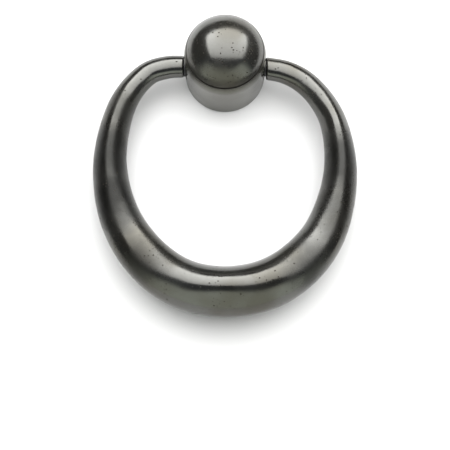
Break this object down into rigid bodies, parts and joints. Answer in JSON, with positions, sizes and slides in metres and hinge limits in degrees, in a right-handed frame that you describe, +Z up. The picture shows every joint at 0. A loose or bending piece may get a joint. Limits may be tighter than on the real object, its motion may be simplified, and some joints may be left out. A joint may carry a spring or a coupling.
{
  "type": "door knocker",
  "caption": "Cast bronze ring door knocker: a heavy ring swings from the sides of a round boss and falls on a strike button, bolted through the door.",
  "frame": {"origin": "centre of the boss's back, on the door's outer face", "axes": "+Z up, -Y out from the door towards the visitor, +X to the visitor's right"},
  "size_m": [0.1252, 0.1091, 0.1417],
  "materials": {
    "cast_bronze": "dark patinated cast bronze, hand polished, with scattered casting pits",
    "bearing_bronze": "turned bronze, dull",
    "fixing_steel": "turned and threaded steel",
    "black_steel": "black oxide steel",
    "gasket_rubber": "matt black rubber",
    "washer_nylon": "black nylon, satin"
  },
  "bodies": {
    "boss": {"collar": "cast_bronze", "ball": "cast_bronze", "back_gasket": "gasket_rubber", "locating_dowel": "fixing_steel", "through_stud": "fixing_steel", "inside_rose": "cast_bronze", "lock_washer": "fixing_steel", "dome_nut": "cast_bronze", "left_bush": "bearing_bronze", "right_bush": "bearing_bronze", "left_thrust_washer": "washer_nylon", "right_thrust_washer": "washer_nylon", "strike_button": "cast_bronze", "strike_screw": "bearing_bronze"},
    "ring": {"ring": "cast_bronze", "left_pivot_pin": "fixing_steel", "right_pivot_pin": "fixing_steel", "left_grub_screw": "black_steel", "right_grub_screw": "black_steel"}
  },
  "joints": [
    {"name": "ring_swing", "type": "hinge", "parent": "boss", "child": "ring", "pos_m": [0, -0.012, -0.0005], "axis": [-1, 0, 0], "range_deg": [0, 175]}
  ]
}
